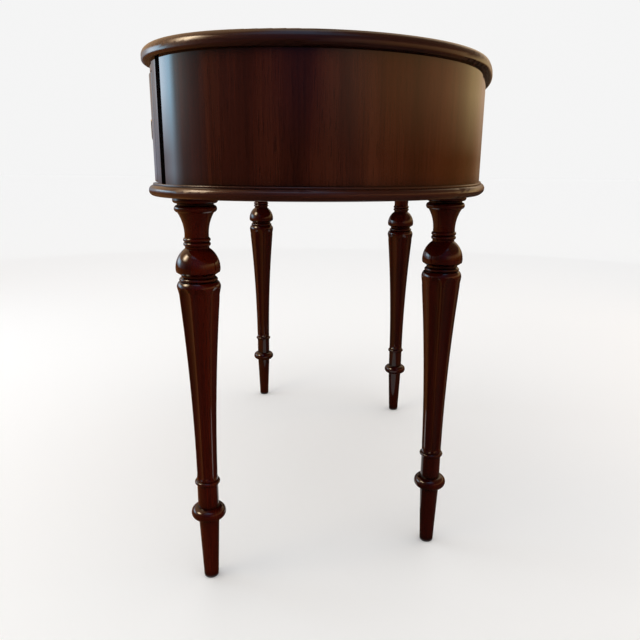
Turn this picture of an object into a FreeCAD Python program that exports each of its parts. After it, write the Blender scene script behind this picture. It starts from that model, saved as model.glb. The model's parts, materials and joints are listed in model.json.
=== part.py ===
import FreeCAD, Part
import math
import os

# Kidney-shaped writing desk on four fluted legs, in millimetres.
# +X runs along the desk, -Y is the drawer side, +Y the bowed back, +Z is up from the floor.

V = FreeCAD.Vector
UP = V(0, 0, 1)
ORIGIN = V(0, 0, 0)

# Plan outline at the nose of the mouldings: tangent arcs, the same on both halves.
# The depth of the desk, about 513, follows from them.
desk_length = 1095.0
back_radius = 1180.0
shoulder_radius = 271.0
lobe_radius = 168.0
lobe_turn = 17.4
kneehole_radius = 600.0

# Heights of the layers, from the floor up
leg_height = 582.0
base_thickness = 16.5
apron_height = 146.2
top_thickness = 18.5

# Moulded edges
top_edge_round = 11.0
top_edge_under = 4.5
base_fillet_height = 2.6
base_fillet_inset = 5.6
base_nose_round = 6.7
apron_inset = 8.8

# Curved apron
panel_thickness = 16.0
panel_front_angle = 37.9
stile_face_angle = 33.0
drawer_end_angle = 26.5
back_seam_angle = 11.0
stile_recess = 4.0
stile_depth = 25.0
glue_line = 0.15

# Front frame between the drawers
divider_spacing = 424.0
divider_width = 20.0
divider_depth = 24.0
partition_thickness = 16.0
rail_height = 11.0
rail_depth = 22.0
rail_setback = 1.5
frame_clearance = 1.0

# Drawers
drawer_gap = 1.5
front_thickness = 20.0
front_arris = 1.8
side_thickness = 11.0
drawer_back_thickness = 11.0
bottom_thickness = 6.0
bottom_lift = 9.0
groove_depth = 5.0
housing_depth = 6.0
joint_clearance = 0.2
run_clearance = 0.4
guide_clearance = 0.6
kicker_clearance = 2.0
side_setback_inner = 7.0
side_setback_outer = 18.0
side_drawer_depth = 350.0
centre_drawer_depth = 305.0
guide_height = 12.0
guide_width = 9.0
kicker_width = 22.0
stop_width = 40.0
stop_thickness = 12.0
stop_height = 14.0

# Top fixing: glue blocks inside the apron, each with one countersunk screw
block_length = 44.0
block_width = 22.0
block_height = 20.0
lobe_block_angle = 35.0
side_block_angle = 22.0
rear_block_angle = 60.0
screw_radius = 2.0
screw_head_radius = 4.0
screw_head_height = 2.6
screw_grip = 11.0
screw_clearance = 0.15

# Drop pulls
pull_rise = 81.5
pull_lean = 14.7
post_spacing = 56.0
rosette_radius = 9.0
rosette_thickness = 2.6
rosette_rim_height = 0.7
rosette_bead_radius = 8.1
rosette_bead_height = 1.6
rosette_groove_radius = 7.1
rosette_groove_height = 1.0
rosette_dome_radius = 5.9
rosette_dome_height = 2.1
rosette_seat_radius = 4.2
post_shank_radius = 2.0
post_neck_radius = 2.2
post_collar_radius = 3.6
post_collar_height = 1.2
post_head_radius = 2.6
pivot_reach = 6.5
pin_radius = 1.1
pin_clearance = 0.05
pin_overlap = 0.4
pin_end_gap = 0.4
bail_radius = 1.6
bail_head_gap = 0.4
bail_elbow = 2.2
bail_corner = 12.0
bail_drop = 31.5
nut_sides = 6
nut_across_flats = 8.0
nut_thickness = 3.0
shank_past_nut = 2.5
hole_clearance = 0.2

# Legs: where they stand, then the turning from the floor up and from the seat down
front_leg_angle = 69.7
front_leg_inset = 58.5
back_leg_angle = 15.7
back_leg_inset = 53.4
foot_radius = 9.4
foot_round = 1.7
foot_round_height = 3.0
ankle_low_radius = 15.3
bulb_height = 112.0
bulb_section = 10.0
bulb_seat = 16.0
ankle_radius = 15.6
ring_height = 162.5
ring_section = 3.2
shaft_low_radius = 15.75
shaft_mid_radius = 19.6
shaft_top_radius = 30.05
shaft_top_drop = 126.0
shoulder_bulge_drop = 121.0
shoulder_drop = 115.5
shoulder_end_radius = 27.6
bead_radius = 26.3
bead_seat_radius = 25.0
bead_low_drop = 114.5
bead_high_drop = 109.7
throat_radius = 23.2
throat_low_drop = 108.2
throat_high_drop = 106.0
dome_under_radius = 29.7
dome_under_drop = 101.8
dome_radius = 30.45
dome_edge_drop = 98.6
dome_start_drop = 95.0
dome_mid_radius = 26.9
dome_mid_drop = 81.7
collar_seat_radius = 16.4
dome_end_drop = 69.5
collar_count = 2
collar_drop = 58.0
collar_pitch = 6.0
collar_bulge = 2.1
collar_half_height = 2.9
trumpet_mid_radius = 18.3
trumpet_mid_drop = 36.0
trumpet_top_radius = 24.4
trumpet_top_drop = 21.7
crown_ring_radius = 28.6
crown_ring_drop = 16.8
crown_ring_end_drop = 11.8
cap_groove_drop = 10.4
cap_lip_radius = 27.6
cap_lip_drop = 9.4
cap_round_radius = 29.5
cap_round_drop = 8.0
cap_radius = 30.1
cap_edge_drop = 5.0
tenon_radius = 12.0
tenon_length = 15.5
tenon_clearance = 0.1
tenon_end_gap = 1.0
flute_count = 8
flute_half_angle = 18.5
flute_depth_ratio = 0.13
flute_foot_lift = 15.0
flute_head_drop = 19.0
flute_end_growth = 0.1
flute_sections = 5

# Heights that follow
base_top = leg_height + base_thickness
top_under = base_top + apron_height
desk_height = top_under + top_thickness
rail_under = top_under - rail_height
pull_height = base_top + pull_rise

# Share of a quarter arc's reach at its middle, and how near two places count as one
QUARTER_MIDDLE = math.sqrt(0.5)
SAME_PLACE = 0.001


class PlanArc:
    """One arc of the plan outline; an inset moves it into the desk."""

    def __init__(self, centre, radius, hollow=False):
        self.centre = centre
        self.radius = radius
        self.side = -1 if hollow else 1

    def inset_radius(self, inset):
        return self.radius - self.side * inset

    def outward(self, angle):
        turn = math.radians(angle)
        return V(math.cos(turn), math.sin(turn), 0) * self.side

    def point(self, angle, inset, height=0.0):
        reach = self.outward(angle) * (self.side * self.inset_radius(inset))
        return V(self.centre.x + reach.x, self.centre.y + reach.y, height)

    def edge(self, first, last, inset):
        ends = (first, (first + last) / 2, last)
        return Part.Arc(*[self.point(angle, inset) for angle in ends]).toShape()


def plan_centres():
    """Centres of the back, shoulder, lobe and kneehole arcs, with Y centred on the desk's depth."""
    shoulder_x = desk_length / 2 - shoulder_radius
    shoulder_y = math.sqrt((back_radius - shoulder_radius) ** 2 - shoulder_x ** 2)
    slip = shoulder_radius - lobe_radius
    lobe_x = shoulder_x + slip * math.cos(math.radians(lobe_turn))
    lobe_y = shoulder_y - slip * math.sin(math.radians(lobe_turn))
    kneehole_y = lobe_y - math.sqrt((lobe_radius + kneehole_radius) ** 2 - lobe_x ** 2)
    shift = (back_radius + lobe_y - lobe_radius) / 2
    places = [(0, 0), (shoulder_x, shoulder_y), (lobe_x, lobe_y), (0, kneehole_y)]
    return [V(x, y - shift, 0) for x, y in places]


back_centre, shoulder_centre, lobe_centre, kneehole_centre = plan_centres()
back_arc = PlanArc(back_centre, back_radius)
right_shoulder = PlanArc(shoulder_centre, shoulder_radius)
right_lobe = PlanArc(lobe_centre, lobe_radius)
left_shoulder = PlanArc(V(-shoulder_centre.x, shoulder_centre.y, 0), shoulder_radius)
left_lobe = PlanArc(V(-lobe_centre.x, lobe_centre.y, 0), lobe_radius)
kneehole_arc = PlanArc(kneehole_centre, kneehole_radius, hollow=True)

# Angles, anticlockwise from +X, where one arc hands over to the next on the right half
shoulder_start = math.degrees(math.atan2(shoulder_centre.y - back_centre.y, shoulder_centre.x))
kneehole_start = math.degrees(math.atan2(lobe_centre.y - kneehole_centre.y, lobe_centre.x))
lobe_end = kneehole_start - 180

whole_outline = [
    (back_arc, 180 - shoulder_start, shoulder_start),
    (right_shoulder, shoulder_start, -lobe_turn),
    (right_lobe, -lobe_turn, lobe_end),
    (kneehole_arc, kneehole_start, 180 - kneehole_start),
    (left_lobe, 180 - lobe_end, 180 + lobe_turn),
    (left_shoulder, 180 + lobe_turn, 180 - shoulder_start),
]

# Places along the front that the drawers, stiles and pulls share
face_radius = right_lobe.inset_radius(apron_inset)
panel_start = panel_front_angle - 90
corner_x = right_lobe.point(drawer_end_angle - 90, apron_inset).x
divider_inner = (divider_spacing - divider_width) / 2
divider_outer = (divider_spacing + divider_width) / 2
partition_inner = (divider_spacing - partition_thickness) / 2
partition_outer = (divider_spacing + partition_thickness) / 2
panel_inner_inset = apron_inset + panel_thickness
front_inner_inset = apron_inset + front_thickness
frame_inner_inset = apron_inset + max(divider_depth, rail_depth) + frame_clearance
lobe_front_y = right_lobe.point(-90, apron_inset).y
hollow_front_y = kneehole_arc.point(90, apron_inset).y
box_bottom = base_top + run_clearance
box_top = rail_under - kicker_clearance


def slab(edges, low, high):
    """Solid between two heights over a closed plan outline."""
    face = Part.Face(Part.Wire(Part.__sortEdges__(edges)))
    face.translate(V(0, 0, low))
    return face.extrude(V(0, 0, high - low))


def kidney(inset, low, high):
    """Solid over the whole outline, moved in by an inset."""
    return slab([arc.edge(first, last, inset) for arc, first, last in whole_outline], low, high)


def strip(stretches, outer_inset, inner_inset, low, high):
    """Curved board between two insets, along the given stretches of the outline."""
    edges = []
    for inset in (outer_inset, inner_inset):
        edges += [arc.edge(first, last, inset) for arc, first, last in stretches]
    for arc, angle in ((stretches[0][0], stretches[0][1]), (stretches[-1][0], stretches[-1][2])):
        edges.append(Part.LineSegment(arc.point(angle, outer_inset), arc.point(angle, inner_inset)).toShape())
    return slab(edges, low, high)


def block(x_low, x_high, y_low, y_high, z_low, z_high):
    return Part.makeBox(x_high - x_low, y_high - y_low, z_high - z_low, V(x_low, y_low, z_low))


def column(x_low, x_high, low, high):
    """Block of full depth, to trim a curved piece between two X planes."""
    return block(x_low, x_high, -desk_length, desk_length, low, high)


def mirrored(shape):
    return shape.mirror(ORIGIN, V(1, 0, 0))


def both_sides(shape):
    return [shape, mirrored(shape)]


def edges_at(shape, height):
    """Edges that lie whole at one height."""
    level = []
    for edge in shape.Edges:
        if abs(edge.BoundBox.ZMin - height) + edge.BoundBox.ZLength < SAME_PLACE:
            level.append(edge)
    return level


def top_board():
    board = kidney(0, top_under, desk_height)
    board = board.makeFillet(top_edge_round, edges_at(board, desk_height))
    board = board.makeFillet(top_edge_under, edges_at(board, top_under))
    pilots = [screw_hole(place, screw_radius + screw_clearance) for place in screw_places()]
    return board.cut(pilots)


def base_board():
    fillet_low = base_top - base_fillet_height
    nose = kidney(0, leg_height, fillet_low)
    rims = edges_at(nose, leg_height) + edges_at(nose, fillet_low)
    nose = nose.makeFillet(base_nose_round, rims)
    board = nose.fuse(kidney(base_fillet_inset, fillet_low, base_top)).removeSplitter()
    depth = tenon_length + tenon_end_gap
    sockets = [Part.makeCylinder(tenon_radius + tenon_clearance, depth, place + UP * leg_height)
               for place in leg_places().values()]
    return board.cut(sockets)


def end_panel():
    """Right end of the apron, bent from beside the drawers right round to the back seam."""
    stretches = [
        (right_lobe, panel_start, -lobe_turn),
        (right_shoulder, -lobe_turn, shoulder_start),
        (back_arc, shoulder_start, 90 - back_seam_angle),
    ]
    return strip(stretches, apron_inset, panel_inner_inset, base_top, top_under)


def back_panel():
    stretches = [(back_arc, 90 - back_seam_angle, 90 + back_seam_angle)]
    return strip(stretches, apron_inset, panel_inner_inset, base_top, top_under)


def corner_stile():
    """Post beside the right drawer, with a flush face and then a recess that meets the end panel."""
    recess = apron_inset + stile_recess
    inner = apron_inset + stile_depth
    face_part = strip([(right_lobe, stile_face_angle - 90, lobe_end)], apron_inset, inner, base_top, top_under)
    recess_part = strip([(right_lobe, panel_start, lobe_end)], recess, inner, base_top, top_under)
    post = face_part.fuse(recess_part).removeSplitter()
    return post.common(column(corner_x + drawer_gap / 2, desk_length, base_top, top_under))


def divider_stile():
    stretches = [(kneehole_arc, kneehole_start, 90)]
    stile = strip(stretches, apron_inset, apron_inset + divider_depth, base_top, rail_under)
    return stile.common(column(divider_inner, divider_outer, base_top, rail_under))


def case_space(front_inset, back_inset, low, high):
    """Room inside the apron, with one inset on the drawer side and another on the back."""
    front = kidney(front_inset, low, high).common(
        block(-desk_length, desk_length, -desk_length, 0, low, high))
    back = kidney(back_inset, low, high).common(
        block(-desk_length, desk_length, 0, desk_length, low, high))
    return front.fuse(back).removeSplitter()


def partition():
    space = case_space(frame_inner_inset, panel_inner_inset + glue_line, base_top, top_under)
    return space.common(column(partition_inner, partition_outer, base_top, top_under))


def front_top_rail():
    """Thin rail under the top, from corner stile to corner stile along the whole front."""
    stretches = [
        (right_lobe, panel_start, lobe_end),
        (kneehole_arc, kneehole_start, 180 - kneehole_start),
        (left_lobe, 180 - lobe_end, 180 - panel_start),
    ]
    rail = strip(stretches, apron_inset + rail_setback, apron_inset + rail_depth, rail_under, top_under)
    return rail.common(column(-corner_x, corner_x, rail_under, top_under))


# Drawer sides as (inner, outer) X planes, then the Y planes where each drawer box ends
inner_front_x = divider_outer + drawer_gap
outer_front_x = corner_x - drawer_gap / 2
centre_front_x = divider_inner - drawer_gap
inner_side_x = inner_front_x + side_setback_inner
outer_side_x = outer_front_x - side_setback_outer
centre_side_x = centre_front_x - side_setback_inner
side_box_back = lobe_front_y + side_drawer_depth
centre_box_back = hollow_front_y + centre_drawer_depth


def strips_beside_drawers(spans, low, high):
    """Strips on both halves, from behind the front frame to each drawer's end, between pairs of X planes."""
    space = case_space(frame_inner_inset, panel_inner_inset + glue_line, low, high)
    strips = []
    for x_low, x_high, y_high in spans:
        strips += both_sides(space.common(block(x_low, x_high, -desk_length, y_high, low, high)))
    return Part.makeCompound(strips)


def drawer_guides():
    """Strips on the base board that the drawer sides run along."""
    outer_x = outer_side_x + guide_clearance
    spans = [
        (partition_outer, inner_side_x - guide_clearance, side_box_back),
        (outer_x, outer_x + guide_width, side_box_back),
        (centre_side_x + guide_clearance, partition_inner, centre_box_back),
    ]
    return strips_beside_drawers(spans, base_top, base_top + guide_height)


def drawer_kickers():
    """Strips under the top that keep an open drawer from tipping."""
    outer_x = outer_side_x - side_thickness
    spans = [
        (partition_outer, partition_outer + kicker_width, side_box_back),
        (outer_x, outer_x + kicker_width, side_box_back),
        (partition_inner - kicker_width, partition_inner, centre_box_back),
    ]
    return strips_beside_drawers(spans, rail_under, top_under)


def drawer_stops():
    """Blocks on the base board that the drawer backs meet when they are shut."""
    middle = (inner_side_x + outer_side_x) / 2
    stops = []
    for x_middle, y_back in ((middle, side_box_back), (0, centre_box_back), (-middle, side_box_back)):
        y_low = y_back + run_clearance
        stops.append(block(x_middle - stop_width / 2, x_middle + stop_width / 2,
                           y_low, y_low + stop_thickness, base_top, base_top + stop_height))
    return Part.makeCompound(stops)


def block_stations():
    """Where the glue blocks sit: an arc of the outline and the angle of the block's middle."""
    right = [
        (right_lobe, -lobe_block_angle),
        (right_shoulder, side_block_angle),
        (right_shoulder, rear_block_angle),
        (back_arc, 90 - back_seam_angle / 2),
    ]
    opposite = {right_lobe: left_lobe, right_shoulder: left_shoulder, back_arc: back_arc}
    return right + [(opposite[arc], 180 - angle) for arc, angle in right]


def screw_places():
    """Point of each screw's axis at the under face of its glue block."""
    inset = panel_inner_inset + glue_line + block_width / 2
    return [arc.point(angle, inset, top_under - block_height) for arc, angle in block_stations()]


def screw_hole(place, radius):
    return Part.makeCylinder(radius, block_height + screw_grip + screw_clearance, place)


def screw_head(place, growth):
    return Part.makeCone(screw_head_radius + growth, screw_radius + growth, screw_head_height, place)


def top_glue_blocks():
    blocks = []
    inner = panel_inner_inset + glue_line
    for (arc, angle), place in zip(block_stations(), screw_places()):
        half = math.degrees(block_length / 2 / arc.inset_radius(inner))
        piece = strip([(arc, angle - half, angle + half)], inner, inner + block_width,
                      top_under - block_height, top_under)
        sink = screw_head(place, screw_clearance)
        blocks.append(piece.cut([screw_hole(place, screw_radius + screw_clearance), sink]))
    return Part.makeCompound(blocks)


def top_screws():
    screws = []
    for place in screw_places():
        shank = Part.makeCylinder(screw_radius, block_height + screw_grip, place)
        screws.append(shank.fuse(screw_head(place, 0)).removeSplitter())
    return Part.makeCompound(screws)


def leg_places():
    """Axis of each leg at the floor."""
    front = right_lobe.point(-front_leg_angle, front_leg_inset)
    back = back_arc.point(90 - back_leg_angle, back_leg_inset)
    return {
        "front_right_leg": front,
        "front_left_leg": V(-front.x, front.y, 0),
        "back_right_leg": back,
        "back_left_leg": V(-back.x, back.y, 0),
    }


class Turning:
    """Outline of a turned piece, drawn as radius and height from the axis at the floor."""

    def __init__(self):
        self.at = V(0, 0, 0)
        self.edges = []

    def line(self, radius, height):
        end = V(radius, 0, height)
        self.edges.append(Part.LineSegment(self.at, end).toShape())
        self.at = end

    def curve(self, mid_radius, mid_height, radius, height):
        end = V(radius, 0, height)
        self.edges.append(Part.Arc(self.at, V(mid_radius, 0, mid_height), end).toShape())
        self.at = end

    def turned(self):
        self.edges.append(Part.LineSegment(self.at, ORIGIN).toShape())
        return Part.Face(Part.Wire(self.edges)).revolve(ORIGIN, UP, 360)


def bead_edge(seat, section, radius):
    """How far from a bead's middle its round meets a neck of the given radius."""
    return math.sqrt(section ** 2 - (radius - seat) ** 2)


shaft_low = ring_height + bead_edge(ankle_radius, ring_section, shaft_low_radius)
shaft_top = leg_height - shaft_top_drop
shaft_circle = Part.Arc(V(shaft_low_radius, 0, shaft_low),
                        V(shaft_mid_radius, 0, (shaft_low + shaft_top) / 2),
                        V(shaft_top_radius, 0, shaft_top)).toShape().Curve


def shaft_radius(height):
    """Radius of the hollow-tapered shaft at a height."""
    rise = height - shaft_circle.Center.z
    return shaft_circle.Center.x - math.sqrt(shaft_circle.Radius ** 2 - rise ** 2)


def leg_turning():
    """The leg before its flutes are cut: foot, bulb, ring, shaft, dome, trumpet neck, cap and tenon."""
    leg = Turning()
    leg.line(foot_radius, 0)
    leg.curve(foot_radius + foot_round * QUARTER_MIDDLE, foot_round_height * (1 - QUARTER_MIDDLE),
              foot_radius + foot_round, foot_round_height)
    leg.line(ankle_low_radius, bulb_height - bead_edge(bulb_seat, bulb_section, ankle_low_radius))
    leg.curve(bulb_seat + bulb_section, bulb_height,
              ankle_radius, bulb_height + bead_edge(bulb_seat, bulb_section, ankle_radius))
    leg.line(ankle_radius, ring_height - ring_section)
    leg.curve(ankle_radius + ring_section, ring_height, shaft_low_radius, shaft_low)
    leg.curve(shaft_mid_radius, (shaft_low + shaft_top) / 2, shaft_top_radius, shaft_top)
    seat = leg_height
    leg.curve(shaft_top_radius, seat - shoulder_bulge_drop, shoulder_end_radius, seat - shoulder_drop)
    leg.line(bead_seat_radius, seat - bead_low_drop)
    bead_middle = seat - (bead_low_drop + bead_high_drop) / 2
    leg.curve(bead_radius, bead_middle, bead_seat_radius, seat - bead_high_drop)
    leg.line(throat_radius, seat - throat_low_drop)
    leg.line(throat_radius, seat - throat_high_drop)
    leg.line(dome_under_radius, seat - dome_under_drop)
    leg.curve(dome_radius, seat - dome_edge_drop, dome_radius, seat - dome_start_drop)
    leg.curve(dome_mid_radius, seat - dome_mid_drop, collar_seat_radius, seat - dome_end_drop)
    for index in reversed(range(collar_count)):
        middle = seat - collar_drop - index * collar_pitch
        leg.line(collar_seat_radius, middle - collar_half_height)
        leg.curve(collar_seat_radius + collar_bulge, middle, collar_seat_radius, middle + collar_half_height)
    leg.curve(trumpet_mid_radius, seat - trumpet_mid_drop, trumpet_top_radius, seat - trumpet_top_drop)
    leg.curve(crown_ring_radius, seat - crown_ring_drop, trumpet_top_radius, seat - crown_ring_end_drop)
    leg.line(trumpet_top_radius, seat - cap_groove_drop)
    leg.line(cap_lip_radius, seat - cap_lip_drop)
    leg.curve(cap_round_radius, seat - cap_round_drop, cap_radius, seat - cap_edge_drop)
    leg.line(cap_radius, seat)
    leg.line(tenon_radius, seat)
    leg.line(tenon_radius, seat + tenon_length)
    leg.line(0, seat + tenon_length)
    return leg.turned()


def flute_cutters():
    """Round-ended hollows that taper with the shaft."""
    half = math.radians(flute_half_angle)
    bottom = 1 - flute_depth_ratio
    rise = math.cos(half) - bottom
    section_ratio = (math.sin(half) ** 2 + rise ** 2) / (2 * rise)
    heights = [shaft_low + flute_foot_lift, shaft_top - flute_head_drop]
    step = (heights[1] - heights[0]) / (flute_sections - 1)

    def centre(height):
        return V((bottom + section_ratio) * shaft_radius(height), 0, height)

    rings = []
    for index in range(flute_sections):
        height = heights[0] + index * step
        ring = Part.makeCircle(section_ratio * shaft_radius(height), centre(height))
        rings.append(Part.Wire(ring))
    hollow = [Part.makeLoft(rings, True)]
    for height in heights:
        end_radius = section_ratio * shaft_radius(height) + flute_end_growth
        hollow.append(Part.makeSphere(end_radius, centre(height)))
    cutters = []
    for index in range(flute_count):
        for piece in hollow:
            cutters.append(piece.rotated(ORIGIN, UP, 360 * index / flute_count))
    return cutters


def legs():
    leg = leg_turning().cut(flute_cutters())
    return {name: leg.translated(place) for name, place in leg_places().items()}


class Pull:
    """Drop pull centred on an arc of the drawer fronts: two posts and a bail that swings between them."""

    def __init__(self, arc, angle):
        self.arc = arc
        half = math.degrees(math.asin(post_spacing / 2 / arc.inset_radius(apron_inset)))
        self.angles = (angle - half, angle + half)
        self.pivots = [self.local(turn, pivot_reach) for turn in self.angles]

    def local(self, angle, reach):
        """Point at a distance out from the drawer face."""
        return self.arc.point(angle, apron_inset - reach, pull_height)

    def seated(self, shape, angle, lift):
        """A piece drawn along +Z, set square on the drawer face or lifted off it."""
        turn = FreeCAD.Rotation(UP, self.arc.outward(angle))
        placed = shape.copy()
        placed.Placement = FreeCAD.Placement(self.local(angle, lift), turn)
        return placed

    def at_both(self, shape, lift=0.0):
        return [self.seated(shape, angle, lift) for angle in self.angles]

    def seat_lift(self):
        """How far a flat rosette stands off a hollow drawer front, where its rim meets the wood first."""
        radius = self.arc.inset_radius(apron_inset)
        sag = radius - math.sqrt(radius ** 2 - rosette_radius ** 2)
        return sag if self.arc.side < 0 else 0.0

    def rosettes(self):
        """Turned plates with a bead round the rim and a dome up to the post's collar."""
        plate = Turning()
        plate.line(rosette_radius, 0)
        plate.line(rosette_radius, rosette_rim_height)
        plate.curve(rosette_bead_radius, rosette_bead_height, rosette_groove_radius, rosette_groove_height)
        plate.curve(rosette_dome_radius, rosette_dome_height, rosette_seat_radius, rosette_thickness)
        plate.line(0, rosette_thickness)
        bore = Part.makeCylinder(post_shank_radius + hole_clearance, rosette_thickness)
        return self.at_both(plate.turned().cut(bore), self.seat_lift())

    def posts(self):
        shank_length = front_thickness + nut_thickness + shank_past_nut
        seat = V(0, 0, self.seat_lift() + rosette_thickness)
        post = Part.makeCylinder(post_shank_radius, shank_length + pivot_reach, V(0, 0, -shank_length))
        collar = Part.makeCylinder(post_collar_radius, post_collar_height, seat)
        neck = Part.makeCylinder(post_neck_radius, pivot_reach - seat.z, seat)
        head = Part.makeSphere(post_head_radius, V(0, 0, pivot_reach))
        post = post.fuse([collar, neck, head]).removeSplitter()
        posts = []
        for whole, pivot, outward in zip(self.at_both(post), self.pivots, self.outwards()):
            start = pivot - outward * (pin_overlap + pin_end_gap)
            length = pin_overlap + pin_end_gap + post_head_radius + bail_head_gap
            socket = Part.makeCylinder(pin_radius + pin_clearance, length, start, outward)
            posts.append(whole.cut(socket))
        return posts

    def outwards(self):
        """Directions along the hinge line, from each post away from the other."""
        along = (self.pivots[1] - self.pivots[0]).normalize()
        return [along * -1, along]

    def nuts(self):
        reach = nut_across_flats / 2 / math.cos(math.pi / nut_sides)
        low = -front_thickness - joint_clearance - nut_thickness
        turns = [math.radians(360 / nut_sides * corner) for corner in range(nut_sides + 1)]
        corners = [V(reach * math.cos(turn), reach * math.sin(turn), low) for turn in turns]
        nut = Part.Face(Part.makePolygon(corners)).extrude(V(0, 0, nut_thickness))
        bore = Part.makeCylinder(post_shank_radius + pin_clearance, nut_thickness, V(0, 0, low))
        return self.at_both(nut.cut(bore))

    def holes(self):
        """Clearance holes for the post shanks through the drawer front."""
        overshoot = front_thickness / 2
        length = front_thickness + 2 * overshoot
        drill = Part.makeCylinder(post_shank_radius + hole_clearance, length, V(0, 0, overshoot - length))
        return self.at_both(drill)

    def bail(self):
        """Round bar hanging from two pins that turn in the outer sides of the post heads."""
        along = self.outwards()[1]
        lead = post_head_radius + bail_head_gap
        start = self.pivots[0] - along * lead
        span = (self.pivots[1] - self.pivots[0]).Length + 2 * lead
        path = Part.Wire(bail_line(start, along, span))
        bar = path.makePipeShell([Part.Wire(Part.makeCircle(bail_radius, start, along))], True, False)
        pins = []
        for pivot, outward in zip(self.pivots, self.outwards()):
            pin_start = pivot - outward * pin_overlap
            pins.append(Part.makeCylinder(pin_radius, pin_overlap + lead + bail_radius, pin_start, outward))
        return bar.fuse(pins).removeSplitter()

    def pieces(self):
        return {
            "rosettes": Part.makeCompound(self.rosettes()),
            "posts": Part.makeCompound(self.posts()),
            "nuts": Part.makeCompound(self.nuts()),
            "bail": self.bail(),
        }


def bail_line(start, along, span):
    """Edges of a bail's centre line: out from one post, down, across and back up to the other."""
    elbow_middle = bail_elbow * (1 - QUARTER_MIDDLE)
    corner_middle = bail_corner * (1 - QUARTER_MIDDLE)
    corner_top = bail_drop - bail_corner
    half = [
        (0, 0),
        (elbow_middle - bail_elbow, elbow_middle),
        (-bail_elbow, bail_elbow),
        (-bail_elbow, corner_top),
        (corner_middle - bail_elbow, bail_drop - corner_middle),
        (bail_corner - bail_elbow, bail_drop),
    ]
    line = half + [(span - run, fall) for run, fall in reversed(half)]
    at = [start + along * run - UP * fall for run, fall in line]
    curves = [
        Part.Arc(at[0], at[1], at[2]),
        Part.LineSegment(at[2], at[3]),
        Part.Arc(at[3], at[4], at[5]),
        Part.LineSegment(at[5], at[6]),
        Part.Arc(at[6], at[7], at[8]),
        Part.LineSegment(at[8], at[9]),
        Part.Arc(at[9], at[10], at[11]),
    ]
    return [curve.toShape() for curve in curves]


def soft_face_edges(shape):
    """Border edges of the curved outer face of a drawer front."""
    radii = [face_radius, kneehole_arc.inset_radius(apron_inset)]
    found = []
    for face in shape.Faces:
        if isinstance(face.Surface, Part.Cylinder):
            if any(abs(face.Surface.Radius - radius) < SAME_PLACE for radius in radii):
                found += face.Edges
    return [edge for edge in found if sum(edge.isSame(other) for other in found) == 1]


def drawer(stretches, x_low, x_high, side_low, side_high, y_back, pull):
    """The five boards of one drawer; X planes are the ends of the front and the outer faces of the sides."""
    front_low = base_top + drawer_gap
    front_high = rail_under - drawer_gap
    front = strip(stretches, apron_inset, front_inner_inset, front_low, front_high)
    front = front.common(column(x_low, x_high, front_low, front_high))
    front = front.makeFillet(front_arris, soft_face_edges(front))

    housing_inset = front_inner_inset - housing_depth
    groove_inset = front_inner_inset - groove_depth
    bottom_low = box_bottom + bottom_lift
    bottom_high = bottom_low + bottom_thickness
    slack = joint_clearance
    inner_low = side_low + side_thickness
    inner_high = side_high - side_thickness

    groove = block(inner_low - groove_depth, inner_high + groove_depth, -desk_length, y_back,
                   bottom_low - slack, bottom_high + slack)
    boards = {}
    for name, low, high in (("left_side", side_low, inner_low), ("right_side", inner_high, side_high)):
        housing = kidney(housing_inset, box_bottom - slack, box_top + slack)
        reach = block(low - slack, high + slack, -desk_length, 0, box_bottom - slack, box_top + slack)
        front = front.cut(housing.common(reach))
        board = kidney(housing_inset + slack, box_bottom, box_top)
        board = board.common(block(low, high, -desk_length, y_back, box_bottom, box_top))
        boards[name] = board.cut(groove)
    rebate = kidney(groove_inset, bottom_low - slack, bottom_high + slack)
    front = front.cut(rebate.common(column(inner_low, inner_high, bottom_low - slack, bottom_high + slack)))
    boards["front"] = front.cut(pull.holes())
    boards["back"] = block(inner_low, inner_high, y_back - drawer_back_thickness, y_back,
                           bottom_high + slack, box_top)
    bottom = kidney(groove_inset + slack, bottom_low, bottom_high)
    bottom = bottom.common(block(inner_low, inner_high, -desk_length, y_back, bottom_low, bottom_high))
    tongue_space = kidney(front_inner_inset + slack, bottom_low, bottom_high)
    tongue_width = groove_depth - slack
    for low, high in ((inner_low - tongue_width, inner_low), (inner_high, inner_high + tongue_width)):
        tongue = tongue_space.common(block(low, high, -desk_length, y_back, bottom_low, bottom_high))
        bottom = bottom.fuse(tongue)
    boards["bottom"] = bottom.removeSplitter()
    return boards


def side_pull():
    """Pull on the lobe, in about the middle of the right drawer's front."""
    return Pull(right_lobe, -90 - pull_lean)


def drawers():
    """Every drawer board and pull piece, named for its drawer."""
    nodes = {}
    right_stretches = [(right_lobe, panel_start, lobe_end), (kneehole_arc, kneehole_start, 90)]
    centre_stretches = [(kneehole_arc, kneehole_start, 180 - kneehole_start)]
    right_pull = side_pull()
    centre_pull = Pull(kneehole_arc, 90)
    right = drawer(right_stretches, inner_front_x, outer_front_x, inner_side_x, outer_side_x,
                   side_box_back, right_pull)
    centre = drawer(centre_stretches, -centre_front_x, centre_front_x, -centre_side_x, centre_side_x,
                    centre_box_back, centre_pull)
    opposite = {"left_side": "right_side", "right_side": "left_side"}
    for name in right:
        nodes["right_drawer_" + name] = right[name]
        nodes["centre_drawer_" + name] = centre[name]
        nodes["left_drawer_" + opposite.get(name, name)] = mirrored(right[name])
    right_pieces = right_pull.pieces()
    centre_pieces = centre_pull.pieces()
    for name in right_pieces:
        nodes["right_pull_" + name] = right_pieces[name]
        nodes["centre_pull_" + name] = centre_pieces[name]
        nodes["left_pull_" + name] = mirrored(right_pieces[name])
    return nodes


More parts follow.
